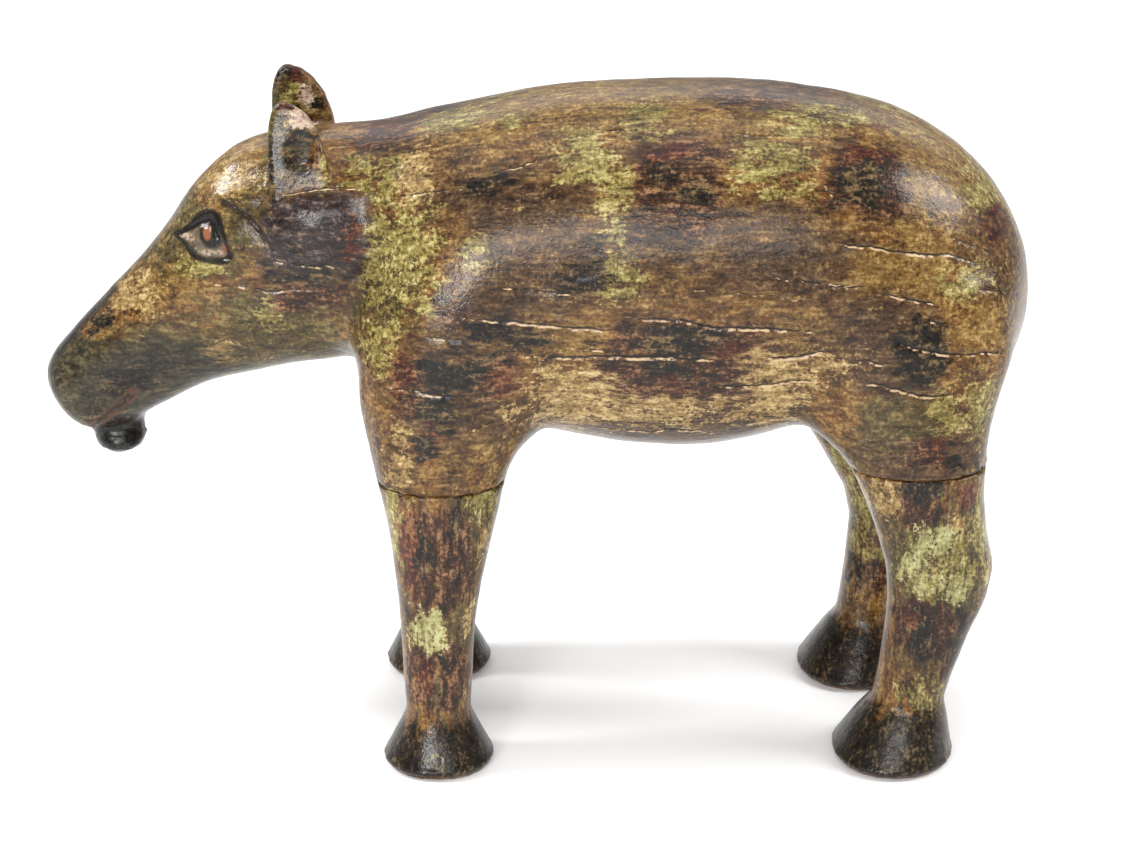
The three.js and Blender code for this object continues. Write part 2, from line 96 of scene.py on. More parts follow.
def facings_of(skin):
    skin.normal_update()
    return np.array([v.normal for v in skin.verts])


def move_to(skin, places):
    for vert, place in zip(skin.verts, places):
        vert.co = place


def finer_faces(skin, close):
    """Halves the faces that lie wholly among the close corners."""
    skin.verts.index_update()
    edges = [e for e in skin.edges if close[e.verts[0].index] and close[e.verts[1].index]]
    bmesh.ops.subdivide_edges(skin, edges=edges, cuts=1, use_grid_fill=True)
    bmesh.ops.triangulate(skin, faces=[f for f in skin.faces if len(f.verts) > 4])


def sand(skin, picked, times):
    chosen = [v for v, yes in zip(skin.verts, picked) if yes]
    for _ in range(times):
        bmesh.ops.smooth_vert(
            skin, verts=chosen, factor=0.5, use_axis_x=True, use_axis_y=True, use_axis_z=True
        )


def ease(low, high, value):
    """Runs softly from 0 at low to 1 at high."""
    share = np.clip((value - low) / (high - low), 0, 1)
    return share * share * (3 - 2 * share)


def bell(value, middle, half):
    """1 at the middle, falling away softly on both sides."""
    return np.exp(-(((value - middle) / half) ** 2))


def uneven(places, size, reach):
    """A soft seeded rise and fall over the skin."""
    return np.array([noise.noise(Vector(p) / size) for p in places]) * reach


def wandering(places, size, reach):
    """A soft seeded drift that keeps lines and painted edges from running true."""
    return np.array([noise.noise_vector(Vector(p) / size) for p in places]) * reach


def drift(places, sways):
    """Several wanderings in one, each given by its size and its reach."""
    return sum(wandering(places, size, reach) for size, reach in sways)


# Wandering is drawn from one seed, so that every run lays the same marks.
MARK_SEED = 7
noise.seed_set(MARK_SEED)


# Marks lie on a plane that leans back over a flank by this angle: along is x, and rise runs up the slope.
LEAN = math.radians(22)
LOOKS_AWAY, LOOKS_OUT = -0.30, 0.02


def on_flank(places, side):
    return places[:, 0], places[:, 2] * math.cos(LEAN) - side * places[:, 1] * math.sin(LEAN)


def faces_flank(facings, side):
    """1 where the surface looks out over that flank, and 0 where it looks away from it."""
    square_on = facings[:, 2] * math.sin(LEAN) + side * facings[:, 1] * math.cos(LEAN)
    return ease(LOOKS_AWAY, LOOKS_OUT, square_on)


def gap_to_line(along, up, points):
    """Signed distance to a line of points, and the share of its length at the nearest place."""
    steps = [math.dist(a, b) for a, b in zip(points, points[1:])]
    gap = np.full(len(along), 1.0)
    share = np.zeros(len(along))
    gone = 0.0
    for (ax, ay), (bx, by), step in zip(points, points[1:], steps):
        dx, dy = (bx - ax) / step, (by - ay) / step
        t = np.clip((along - ax) * dx + (up - ay) * dy, 0, step)
        off_x, off_y = along - ax - t * dx, up - ay - t * dy
        far = np.hypot(off_x, off_y)
        nearer = far < np.abs(gap)
        gap[nearer] = np.where(dx * off_y - dy * off_x < 0, -far, far)[nearer]
        share[nearer] = ((gone + t) / sum(steps))[nearer]
        gone += step
    return gap, share


# Face carving, seen square on: along and height.
EYE_SPOT = (-0.2916, 0.4910)
EYE_REACH = 0.034
MOUTH_LINE = [(-0.3646, 0.339), (-0.4066, 0.302)]
CHEEK_GROOVE = [(-0.2756, 0.524), (-0.2526, 0.513), (-0.2386, 0.497), (-0.2226, 0.484), (-0.1936, 0.470)]
GROOVE_REACH = 0.007
MOUTH_REACH = 0.010
NOSTRIL_SPOT = (-0.4356, 0.352)
NOSTRIL_REACH = 0.011
FACE_INSIDE = 0.022
EAR_FOOT = 0.518
EAR_FROM, EAR_TO = -0.246, -0.170
EAR_INSIDE = 0.030
CHIN_SPOT = (-0.3856, 0.002, 0.290)
CHIN_REACH = 0.0300
# The chin knob swells at one height and is pinched in at its neck.
KNOB_REACH = 0.036
KNOB_WIDEST = 0.275
KNOB_HALF = 0.010
KNOB_FULL = 0.0060
KNOB_NECK = 0.297
NECK_HALF = 0.006
KNOB_PINCH = 0.0040


def face_carving(places):
    """Which corners belong to the eyes, the mouth, the nostrils and the grooves over the cheeks."""
    x, y, z = places.T
    eyes = np.hypot(x - EYE_SPOT[0], z - EYE_SPOT[1]) < EYE_REACH
    mouth = np.abs(gap_to_line(x, z, MOUTH_LINE)[0]) < MOUTH_REACH
    groove = np.abs(gap_to_line(x, z, CHEEK_GROOVE)[0]) < GROOVE_REACH
    nostrils = np.hypot(x - NOSTRIL_SPOT[0], z - NOSTRIL_SPOT[1]) < NOSTRIL_REACH
    return (eyes | groove | nostrils | mouth) & (np.abs(y) > FACE_INSIDE)


def ear_corners(places):
    x, y, z = places.T
    return (x > EAR_FROM) & (x < EAR_TO) & (z > EAR_FOOT) & (np.abs(y) > EAR_INSIDE)


def seam_corners(places):
    x, _, z = places.T
    front = (x < FRONT_LEGS_TO) & (np.abs(z - FRONT_SEAM) < SEAM_HOLD)
    hind = (x > HIND_LEGS_FROM) & (np.abs(z - HIND_SEAM) < SEAM_HOLD)
    return front | hind


# Drying cracks: half width, then the way each one runs over the flank.
CRACKS = [
    (0.0012, [(-0.229, 0.471), (-0.220, 0.473), (-0.182, 0.478), (-0.147, 0.477)]),
    (0.0015, [(-0.122, 0.470), (-0.090, 0.473), (-0.058, 0.476)]),
    (0.0014, [(-0.032, 0.489), (0.006, 0.500)]),
    (0.0014, [(-0.250, 0.417), (-0.204, 0.412), (-0.170, 0.409), (-0.138, 0.408)]),
    (0.0015, [(-0.314, 0.402), (-0.278, 0.394), (-0.236, 0.390), (-0.196, 0.390), (-0.160, 0.394)]),
    (0.0013, [(-0.050, 0.391), (0.024, 0.384), (0.055, 0.379)]),
    (0.0015, [(0.028, 0.400), (0.058, 0.397)]),
    (0.0020, [(-0.063, 0.364), (-0.030, 0.360), (0.000, 0.358), (0.076, 0.352)]),
    (0.0016, [(0.185, 0.401), (0.234, 0.395), (0.274, 0.391)]),
    (0.0012, [(0.238, 0.503), (0.253, 0.474), (0.272, 0.446)]),
    (0.0012, [(0.128, 0.387), (0.209, 0.382), (0.240, 0.376)]),
    (0.0021, [(0.070, 0.364), (0.128, 0.361), (0.155, 0.355), (0.197, 0.354), (0.262, 0.350)]),
    (
        0.0022,
        [(0.260, 0.429), (0.271, 0.426), (0.300, 0.423), (0.328, 0.419), (0.361, 0.419), (0.389, 0.412)],
    ),
    (0.0012, [(0.271, 0.426), (0.269, 0.418)]),
    (0.0013, [(0.362, 0.433), (0.408, 0.422)]),
    (0.0014, [(0.253, 0.390), (0.289, 0.390)]),
    (0.0020, [(0.300, 0.384), (0.324, 0.380), (0.356, 0.375)]),
    (0.0014, [(0.383, 0.388), (0.426, 0.389)]),
    (0.0018, [(0.341, 0.361), (0.358, 0.357)]),
    (0.0020, [(-0.005, 0.328), (0.058, 0.330), (0.120, 0.329), (0.180, 0.326)]),
    (0.0022, [(0.203, 0.328), (0.230, 0.330), (0.256, 0.335)]),
    (0.0016, [(0.141, 0.308), (0.165, 0.304), (0.192, 0.305), (0.254, 0.311)]),
    (0.0018, [(-0.096, 0.346), (-0.058, 0.344)]),
    (0.0019, [(-0.127, 0.303), (-0.079, 0.295), (-0.037, 0.296)]),
    (0.0022, [(0.305, 0.344), (0.336, 0.337), (0.358, 0.332), (0.379, 0.332), (0.416, 0.335)]),
    (0.0018, [(0.276, 0.326), (0.291, 0.327), (0.299, 0.324), (0.315, 0.323)]),
    (0.0022, [(0.286, 0.306), (0.306, 0.305), (0.330, 0.298), (0.350, 0.295), (0.375, 0.297)]),
    (0.0013, [(0.056, 0.268), (0.102, 0.264), (0.121, 0.267), (0.156, 0.264)]),
    (0.0016, [(0.025, 0.337), (0.068, 0.335)]),
    (0.0012, [(0.160, 0.524), (0.225, 0.521)]),
    (0.0012, [(0.048, 0.528), (0.095, 0.526)]),
]
CRACK_OPEN = 0.82
CRACK_TIP = 0.25
TIP_TAPER = 0.6
CRACK_SWAYS = [(0.018, 0.0016), (0.005, 0.0011)]
CRACK_ROOM = 0.010
# In half widths of a crack: its depth, how far off it is lost sight of, where the finest faces end, and
# how far below its middle the pale lip lies; that lip is partly a painted highlight.
CRACK_DEPTH = 1.0
CRACK_CLEAR = 3.0
CRACK_CLOSE = 1.9
LIP_BELOW = 1.1
# The far flank has the same marks, shifted along.
FAR_SHIFT = 0.045


def crack_marks(places, facings):
    """Distances from the nearest crack and from its lower lip, in half widths, and that half width."""
    apart = np.full(len(places), CRACK_CLEAR)
    lip = np.full(len(places), CRACK_CLEAR)
    wide = np.zeros(len(places))
    drifted = places + drift(places, CRACK_SWAYS)
    for side in (LEFT, RIGHT):
        along, rise = on_flank(drifted, side)
        if side == RIGHT:
            along = along - FAR_SHIFT
        out = faces_flank(facings, side) > 0.5
        for half, points in CRACKS:
            first, last = sorted((points[0][0], points[-1][0]))
            close = np.flatnonzero(out & (along > first - CRACK_ROOM) & (along < last + CRACK_ROOM))
            gap, share = gap_to_line(along[close], rise[close], points)
            taper = CRACK_TIP + (1 - CRACK_TIP) * np.sin(np.pi * share) ** TIP_TAPER
            local = CRACK_OPEN * half * taper
            scaled = np.clip(np.abs(gap) / local, 0, CRACK_CLEAR)
            nearer = scaled < apart[close]
            apart[close[nearer]] = scaled[nearer]
            wide[close[nearer]] = local[nearer]
            lip[close] = np.minimum(lip[close], np.abs(gap / local + LIP_BELOW))
    return apart, lip, wide


# Tool marks left in the log: the size of each rise and fall, and its reach.
BODY_TOOL_MARKS = [(0.038, 0.0007), (0.012, 0.00025)]

skin, solid = even_skin("body", BODY_FACE)
finer_faces(skin, ear_corners(places_of(skin)))
for _ in range(2):
    finer_faces(skin, face_carving(places_of(skin)))
places = places_of(skin)
carved = face_carving(places)
ears = ear_corners(places)
seams = seam_corners(places)
plain = ~(carved | ears | seams)
sand(skin, plain & (places[:, 0] < NOSE_BACK), NOSE_SANDING)
sand(skin, plain & (places[:, 0] >= NOSE_BACK), HEAD_SANDING)
sand(skin, plain & (places[:, 0] > HEAD_BACK), TRUNK_SANDING)
sand(skin, np.linalg.norm(places - CHIN_SPOT, axis=1) < CHIN_REACH, CHIN_SANDING)
places = places_of(skin)
for spot in np.flatnonzero(carved | ears | seams):
    places[spot] = solid.find_nearest(places[spot])[0]
move_to(skin, places)
sand(skin, carved | ears, EAR_SANDING)
for reach in (CRACK_CLEAR, CRACK_CLOSE):
    apart, lip, wide = crack_marks(places_of(skin), facings_of(skin))
    finer_faces(skin, apart < reach)

places = places_of(skin)
facings = facings_of(skin)
apart, lip, wide = crack_marks(places, facings)
cut = CRACK_DEPTH * wide * np.clip(1 - apart, 0, 1)
tooled = sum(uneven(places, size, reach) for size, reach in BODY_TOOL_MARKS)
fixed = seam_corners(places) | face_carving(places)
shaped = places + facings * (tooled * ~fixed - cut)[:, None]
from_chin = np.hypot(places[:, 0] - CHIN_SPOT[0], places[:, 1] - CHIN_SPOT[1])
fuller = KNOB_FULL * bell(places[:, 2], KNOB_WIDEST, KNOB_HALF)
pinched = KNOB_PINCH * bell(places[:, 2], KNOB_NECK, NECK_HALF)
shaped[:, 1] += (from_chin < KNOB_REACH) * (fuller - pinched) * facings[:, 1]
move_to(skin, shaped)
for face in skin.faces:
    face.smooth = True
body_mesh = bpy.data.meshes.new("painted_body")
skin.to_mesh(body_mesh)

# Painted blotches on the flank: along, rise, half length and half height.
OCHRE = [
    (-0.270, 0.500, 0.036, 0.031), (0.355, 0.506, 0.050, 0.044), (0.340, 0.411, 0.023, 0.033),
    (0.396, 0.358, 0.024, 0.022), (0.293, 0.404, 0.024, 0.017), (0.106, 0.550, 0.057, 0.025),
    (0.215, 0.536, 0.071, 0.015), (0.045, 0.349, 0.023, 0.014), (-0.052, 0.532, 0.040, 0.023),
    (0.203, 0.344, 0.028, 0.010), (0.057, 0.544, 0.035, 0.017), (-0.330, 0.400, 0.030, 0.020),
    (-0.042, 0.264, 0.012, 0.024),
]
OLIVE = [
    (-0.321, 0.329, 0.050, 0.034), (-0.400, 0.318, 0.036, 0.030), (0.318, 0.268, 0.039, 0.037),
    (-0.124, 0.399, 0.030, 0.046), (-0.233, 0.364, 0.063, 0.026), (-0.212, 0.498, 0.017, 0.024),
    (-0.289, 0.415, 0.028, 0.011), (-0.225, 0.560, 0.020, 0.020), (-0.252, 0.452, 0.026, 0.032),
    (-0.310, 0.424, 0.034, 0.018), (-0.318, 0.456, 0.026, 0.026), (-0.222, 0.522, 0.020, 0.034),
]
BROWN = [
    (-0.008, 0.460, 0.065, 0.029), (0.156, 0.449, 0.065, 0.019), (0.031, 0.415, 0.030, 0.028),
    (-0.038, 0.354, 0.043, 0.020), (-0.072, 0.299, 0.055, 0.041), (0.315, 0.340, 0.048, 0.043),
    (0.346, 0.230, 0.057, 0.027), (0.208, 0.406, 0.065, 0.028), (0.001, 0.391, 0.056, 0.026),
    (-0.194, 0.433, 0.054, 0.039), (0.124, 0.476, 0.037, 0.042), (-0.200, 0.390, 0.036, 0.009),
    (0.190, 0.572, 0.044, 0.011),
]
LIME = [
    (0.053, 0.499, 0.030, 0.023), (0.072, 0.458, 0.015, 0.023), (0.096, 0.534, 0.017, 0.017),
    (0.205, 0.494, 0.032, 0.023), (-0.137, 0.487, 0.016, 0.020), (-0.107, 0.455, 0.015, 0.013),
    (-0.120, 0.412, 0.030, 0.033), (-0.088, 0.378, 0.015, 0.011), (-0.135, 0.339, 0.014, 0.019),
    (-0.072, 0.541, 0.022, 0.012), (-0.023, 0.534, 0.012, 0.007), (0.075, 0.396, 0.018, 0.019),
    (0.361, 0.279, 0.014, 0.019), (0.394, 0.287, 0.016, 0.019), (0.378, 0.397, 0.020, 0.011),
    (-0.058, 0.418, 0.013, 0.009), (-0.296, 0.412, 0.018, 0.008), (-0.236, 0.372, 0.012, 0.012),
    (-0.142, 0.490, 0.024, 0.013), (0.398, 0.485, 0.020, 0.020), (-0.186, 0.490, 0.005, 0.014),
    (-0.220, 0.569, 0.007, 0.010), (0.248, 0.540, 0.036, 0.012),
]
CREAM = [
    (0.042, 0.298, 0.041, 0.027), (0.086, 0.284, 0.077, 0.012), (0.219, 0.320, 0.041, 0.012),
    (0.190, 0.295, 0.044, 0.017), (-0.106, 0.490, 0.013, 0.020),
    # The cream at -0.209, 0.541 on the near ear and at -0.268, 0.487 on the forehead is partly a painted
    # highlight.
    (-0.362, 0.388, 0.020, 0.016), (-0.289, 0.333, 0.015, 0.011), (-0.209, 0.541, 0.007, 0.014),
    (-0.207, 0.565, 0.006, 0.007), (-0.121, 0.244, 0.008, 0.024), (-0.268, 0.487, 0.020, 0.012),
]
MAROON = [
    (0.124, 0.499, 0.039, 0.018), (0.098, 0.475, 0.014, 0.042), (0.136, 0.462, 0.028, 0.029),
    (0.290, 0.483, 0.033, 0.031), (0.138, 0.344, 0.069, 0.018), (0.123, 0.311, 0.059, 0.019),
    (-0.132, 0.531, 0.024, 0.019), (-0.112, 0.316, 0.015, 0.018), (-0.111, 0.288, 0.012, 0.010),
    (-0.032, 0.308, 0.017, 0.017), (0.353, 0.250, 0.015, 0.016),
    (0.194, 0.556, 0.033, 0.010), (-0.070, 0.367, 0.015, 0.014), (-0.200, 0.383, 0.031, 0.012),
    (-0.160, 0.429, 0.010, 0.020), (0.084, 0.342, 0.020, 0.017), (-0.216, 0.588, 0.005, 0.007),
    (-0.197, 0.494, 0.008, 0.016),
]
DARK = [
    (-0.038, 0.478, 0.019, 0.010), (0.114, 0.486, 0.022, 0.010), (0.141, 0.471, 0.016, 0.012),
    (0.094, 0.458, 0.009, 0.008), (0.281, 0.478, 0.022, 0.020), (-0.031, 0.349, 0.037, 0.014),
    (0.128, 0.343, 0.037, 0.015), (0.119, 0.321, 0.019, 0.009), (-0.074, 0.316, 0.037, 0.013),
    (-0.088, 0.287, 0.017, 0.020), (-0.095, 0.253, 0.013, 0.011), (0.347, 0.351, 0.016, 0.017),
    (0.337, 0.331, 0.028, 0.023), (0.367, 0.241, 0.006, 0.012), (0.040, 0.396, 0.021, 0.010),
    (0.055, 0.426, 0.007, 0.014), (-0.395, 0.363, 0.011, 0.010),
    (-0.373, 0.309, 0.018, 0.012), (-0.385, 0.258, 0.030, 0.024), (-0.206, 0.524, 0.010, 0.007),
    (-0.225, 0.590, 0.007, 0.007), (-0.198, 0.563, 0.006, 0.007), (-0.211, 0.427, 0.009, 0.006),
    (-0.202, 0.402, 0.034, 0.006), (-0.212, 0.500, 0.010, 0.016), (-0.226, 0.500, 0.005, 0.024),
]
RED = [
    (0.124, 0.298, 0.008, 0.008), (-0.115, 0.317, 0.010, 0.014), (-0.090, 0.266, 0.007, 0.006),
    (-0.025, 0.305, 0.007, 0.011), (0.173, 0.332, 0.011, 0.007),
    (0.355, 0.254, 0.006, 0.011), (0.108, 0.508, 0.020, 0.007), (0.297, 0.507, 0.022, 0.006),
    (0.407, 0.449, 0.012, 0.016), (-0.160, 0.430, 0.008, 0.017), (-0.132, 0.538, 0.014, 0.008),
    (-0.214, 0.588, 0.005, 0.006), (-0.211, 0.548, 0.010, 0.004),
]
PLUM = [(-0.192, 0.438, 0.044, 0.034), (-0.230, 0.425, 0.012, 0.018)]
MOSS = [(-0.404, 0.308, 0.070, 0.042), (-0.325, 0.322, 0.050, 0.024)]
# Pale pink on the ears: partly pink paint, partly a painted highlight.
PINK_AND_HIGHLIGHT = [(-0.203, 0.537, 0.009, 0.009), (-0.207, 0.570, 0.005, 0.006)]
# How each coat was laid: the breadth over which its edge wears out, and how well it still covers within.
BODY_COATS = {
    "ochre": (OCHRE, 0.045, 0.26),
    "olive": (OLIVE, 0.036, 0.42),
    "brown": (BROWN, 0.036, 0.48),
    "lime": (LIME, 0.036, 0.12),
    "cream": (CREAM, 0.032, 0.20),
    "moss": (MOSS, 0.030, 0.95),
    "maroon": (MAROON, 0.024, 0.50),
    "plum": (PLUM, 0.024, 0.50),
    "dark": (DARK, 0.018, 0.50),
    "red": (RED, 0.018, 0.16),
    "pink_and_highlight": (PINK_AND_HIGHLIGHT, 0.008, 0.40),
}
# Coats laid over a whole side of the log by its slope: between which places along it, upward or downward,
# the slopes at which they start and are full, and how deep they lie there. The ochre on the trunk's upward
# faces is partly ochre paint and partly a painted top light; the brown on its downward faces is painted
# shade.
UP, DOWN = 1, -1
NOSE_TIP, RUMP = -0.5, 0.5
WIPED_COATS_LIT_AND_SHADED = {
    # Ochre on the trunk's upward faces: partly ochre paint, partly a painted top light.
    "ochre": (HEAD_BACK, RUMP, UP, 0.70, 0.97, 1.2),
    "olive": (NOSE_TIP, HEAD_BACK, DOWN, 0.10, 0.70, 1.5),
    # Brown on the trunk's downward faces: painted shade under the belly.
    "brown": (HEAD_BACK, RUMP, DOWN, 0.10, 0.70, 1.5),
    "moss": (NOSE_TIP, MUZZLE_BACK, DOWN, 0.10, 0.70, 1.5),
}
BLOCKINESS = 3.2
# Blotch edges wander less on the head than on the trunk.
BLOTCH_SWAYS = [(0.036, 0.009), (0.012, 0.004)]
HEAD_FREE = 0.35
FREE_FROM, FREE_TO = -0.20, -0.12
# Only the larger blotches are on the far flank, and they shift along behind the head alone.
FAR_BLOTCH = 0.016
SHIFT_FROM, SHIFT_TO = -0.15, -0.05
EAR_FACING = 0.9
CHIN_EDGE = 0.006


def inside_blotches(along, up, blotches, edge, cover):
    """How deep inside the nearest blotch a place lies, in breadths of its worn edge: below 0 is outside."""
    depth = np.full(len(along), -1.0)
    for x, rise, half_long, half_high in blotches:
        small = min(half_long, half_high)
        out = (np.abs(along - x) / half_long) ** BLOCKINESS + (np.abs(up - rise) / half_high) ** BLOCKINESS
        depth = np.maximum(depth, (1 - out ** (1 / BLOCKINESS)) * small / min(edge, 2 * small))
    return np.minimum(depth, cover)


def store(mesh, name, values):
    mesh.attributes.new(name, "FLOAT", "POINT").data.foreach_set("value", values.astype(np.float32))


free = HEAD_FREE + (1 - HEAD_FREE) * ease(FREE_FROM, FREE_TO, places[:, :1])
drifted = places + free * drift(places, BLOTCH_SWAYS)
for coat, (blotches, edge, cover) in BODY_COATS.items():
    best = np.full(len(places), -1.0)
    for side in (LEFT, RIGHT):
        along, rise = on_flank(drifted, side)
        listed = blotches
        if side == RIGHT:
            along = along - FAR_SHIFT * ease(SHIFT_FROM, SHIFT_TO, places[:, 0])
            listed = [b for b in blotches if max(b[2:]) > FAR_BLOTCH]
        depth = inside_blotches(along, rise, listed, edge, cover)
        best = np.maximum(best, depth - 2 * (1 - faces_flank(facings, side)))
    # These include a painted top light over the trunk and painted shade under it.
    if coat in WIPED_COATS_LIT_AND_SHADED:
        first, last, upward, slight, steep, thick = WIPED_COATS_LIT_AND_SHADED[coat]
        wiped_lit_and_shaded = thick * ease(slight, steep, upward * facings[:, 2]) - 1
        within = (places[:, 0] > first) & (places[:, 0] < last)
        best = np.maximum(best, np.where(within, wiped_lit_and_shaded, -1))
    # The pink, partly a painted highlight, stays on the ears where they face the left flank.
    if coat == "pink_and_highlight":
        best = np.where(ear_corners(places) & (faces_flank(facings, LEFT) > EAR_FACING), best, -1)
    store(body_mesh, coat, best)
# How far each corner is from a crack and from its pale lip, for the painted shade and highlight there.
store(body_mesh, "crack", apart / CRACK_CLEAR)
store(body_mesh, "lip", lip / CRACK_CLEAR)
chin = CHIN_REACH - np.linalg.norm(places - CHIN_SPOT, axis=1)
store(body_mesh, "chin", np.clip(chin / CHIN_EDGE, -1, 1))


def tone(red, green, blue):
    """A colour as it looks on a screen, 0 to 255, as linear values for a shader."""
    parts = [c / 255 for c in (red, green, blue)]
    return tuple(c / 12.92 if c <= 0.04045 else ((c + 0.055) / 1.055) ** 2.4 for c in parts) + (1.0,)


# Painted face: the eye's outline, from its middle, looking at the left side.
EYE_OUTLINE = [
    (-0.0300, -0.0026), (-0.0224, 0.0022), (-0.0154, 0.0082), (-0.0094, 0.0150), (-0.0044, 0.0200),
    (0.0016, 0.0230), (0.0066, 0.0238), (0.0112, 0.0208), (0.0136, 0.0150), (0.0154, 0.0070),
    (0.0168, 0.0000), (0.0192, -0.0070), (0.0218, -0.0140), (0.0176, -0.0184), (0.0122, -0.0200),
    (0.0046, -0.0200), (-0.0024, -0.0192), (-0.0094, -0.0176), (-0.0136, -0.0148), (-0.0176, -0.0098),
    (-0.0216, -0.0060), (-0.0254, -0.0044), (-0.0300, -0.0026),
]
UPPER_LID = EYE_OUTLINE[:8]
# How thick the black band under the upper lid is along the eye: partly black paint, partly painted shade.
LID_ALONG = (-0.030, -0.021, -0.003, 0.005)
LID_AND_SHADE_THICK = (0.0014, 0.0028, 0.0082, 0.0108)
# Ovals painted in the eye, from its middle: along, height, half length and half height.
FRONT_WHITE = (-0.0190, -0.0030, 0.0075, 0.0036)
LOWER_WHITE = (0.0046, -0.0130, 0.0120, 0.0030)
IRIS = (0.0044, 0.0030, 0.0112, 0.0128)
PUPIL = (0.0006, 0.0040, 0.0038, 0.0060)
GLINT = (0.0036, 0.0078, 0.0011, 0.0022)
TEAR_CORNER = (0.0166, -0.0085, 0.0030, 0.0034)
EYE_GREY = tone(108, 96, 82)
EYE_PALE = tone(176, 156, 141)
EYE_DIM = tone(66, 57, 48)
EYE_BLACK = tone(14, 12, 10)
EYE_RED = tone(138, 88, 66)
EYE_GLINT = tone(190, 160, 146)
EYE_CORNER = tone(138, 84, 68)
# Painted lines, some of them painted shade: where each fades out and where it is full, from its middle.
EYE_RIM = (-0.0004, 0.0006)
EYE_LINE = (0.0026, 0.0012)
LOW_LINE_FROM = -0.010
LOW_LINE_MORE = 0.0008
# The dark line along the cheek groove is painted shade in the crease.
GROOVE_SHADE_LINE = (0.0040, 0.0014)
LIP_BAND = (0.0080, 0.0060)
LIP_LINE = (0.0022, 0.0010)
LIP_LINE_OFF = 0.0034
SLIT_SHADE_LINE = (0.0016, 0.0006)
RIDGE_LINE = (0.0050, 0.0024)
NOSE_LINE = [(-0.384, 0.429), (-0.406, 0.407), (-0.420, 0.390), (-0.433, 0.376)]
LINE_SWAYS = [(0.008, 0.0022), (0.003, 0.0014)]
MOTTLE_SIZE = 0.0030
PAINT_INSIDE = 0.025
MOUTH_RED = tone(92, 46, 36)
# Painted shade down the mouth slit.
MOUTH_SHADE = tone(16, 13, 11)
LIP_TAN = tone(104, 84, 60)
# Painted shade for the cheek groove.
GROOVE_SHADE = tone(40, 24, 16)
NOSE_DARK = tone(20, 19, 18)


def oval(along, up, x, height, half_long, half_high):
    """1 inside a soft oval, 0 outside."""
    return ease(1.25, 0.75, np.hypot((along - x) / half_long, (up - height) / half_high))


def face_paint(places):
    """Colours of the eyes, mouth and cheek groove and how fully each covers, with painted shade in the
    groove, the slit and under the lid.
    """
    paint = np.zeros((len(places), 4))

    def lay(cover, colour):
        paint[:, :3] += (np.array(colour[:3]) - paint[:, :3]) * cover[:, None]
        paint[:, 3] = np.maximum(paint[:, 3], cover)

    x, y, z = places.T
    outer = np.abs(y) > PAINT_INSIDE
    along, up = x - EYE_SPOT[0], z - EYE_SPOT[1]
    edge = gap_to_line(along, up, EYE_OUTLINE)[0] * outer
    near = outer & (np.hypot(along, up) < EYE_REACH)
    inner = near * ease(*EYE_RIM, -edge)
    mottle = uneven(places, MOTTLE_SIZE, 1.0)
    lay(inner, EYE_GREY)
    lay(inner * ease(0.05, 0.35, mottle) * 0.6, EYE_DIM)
    lay(inner * oval(along, up, *FRONT_WHITE) * ease(-0.35, 0.0, mottle), EYE_PALE)
    lay(inner * oval(along, up, *LOWER_WHITE) * ease(-0.25, 0.1, mottle), EYE_PALE)
    lay(inner * oval(along, up, *IRIS), EYE_BLACK)
    # The upper lid's black band: partly black paint, partly painted shade under the lid.
    thick = np.interp(along, LID_ALONG, LID_AND_SHADE_THICK)
    lid = np.abs(gap_to_line(along, up, UPPER_LID)[0])
    lay(inner * ease(thick, 0.8 * thick, lid), EYE_BLACK)
    lay(inner * oval(along, up, *PUPIL), EYE_RED)
    lay(inner * oval(along, up, *GLINT) * 0.8, EYE_GLINT)
    lay(inner * oval(along, up, *TEAR_CORNER) * 0.8, EYE_CORNER)
    liner = np.abs(edge) - LOW_LINE_MORE * (up < LOW_LINE_FROM)
    lay(near * ease(*EYE_LINE, liner) * 0.95, EYE_BLACK)
    # Painted shade along the cheek groove, fading towards its end.
    gap, share = gap_to_line(x, z, CHEEK_GROOVE)
    lay(outer * ease(*GROOVE_SHADE_LINE, np.abs(gap)) * (0.9 - 0.7 * ease(0.4, 0.8, share)), GROOVE_SHADE)
    rough = places + drift(places, LINE_SWAYS)
    slit = np.abs(gap_to_line(rough[:, 0], rough[:, 2], MOUTH_LINE)[0])
    lips = np.abs(slit - LIP_LINE_OFF)
    lay(outer * ease(*LIP_BAND, slit) * 0.5, LIP_TAN)
    lay(outer * ease(*LIP_LINE, lips) * ease(-0.30, 0.15, mottle) * 0.85, MOUTH_RED)
    # Painted shade in the mouth slit.
    lay(outer * ease(*SLIT_SHADE_LINE, slit) * 0.9, MOUTH_SHADE)
    ridge = np.abs(gap_to_line(rough[:, 0], rough[:, 2], NOSE_LINE)[0])
    lay(ease(*RIDGE_LINE, ridge) * 0.85, NOSE_DARK)
    return paint


body_mesh.attributes.new("face_paint", "FLOAT_COLOR", "POINT").data.foreach_set(
    "color", face_paint(places).astype(np.float32).ravel()
)


def wire(tree, kind, inputs=(), **settings):
    """Adds one shader node: its settings, and its inputs as numbers, colours or other nodes' sockets."""
    made = tree.nodes.new(kind)
    for name, value in settings.items():
        setattr(made, name, value)
    for socket, value in dict(inputs).items():
        if isinstance(value, bpy.types.NodeSocket):
            tree.links.new(value, made.inputs[socket])
        else:
            made.inputs[socket].default_value = value
    return made


def maths(tree, operation, *values):
    return wire(tree, "ShaderNodeMath", enumerate(values), operation=operation).outputs[0]


def speckle(tree, spot, scale, detail, roughness):
    """Noise with this many marks to a metre."""
    sizes = {"Vector": spot, "Scale": scale, "Detail": detail, "Roughness": roughness}
    return wire(tree, "ShaderNodeTexNoise", sizes).outputs[0]


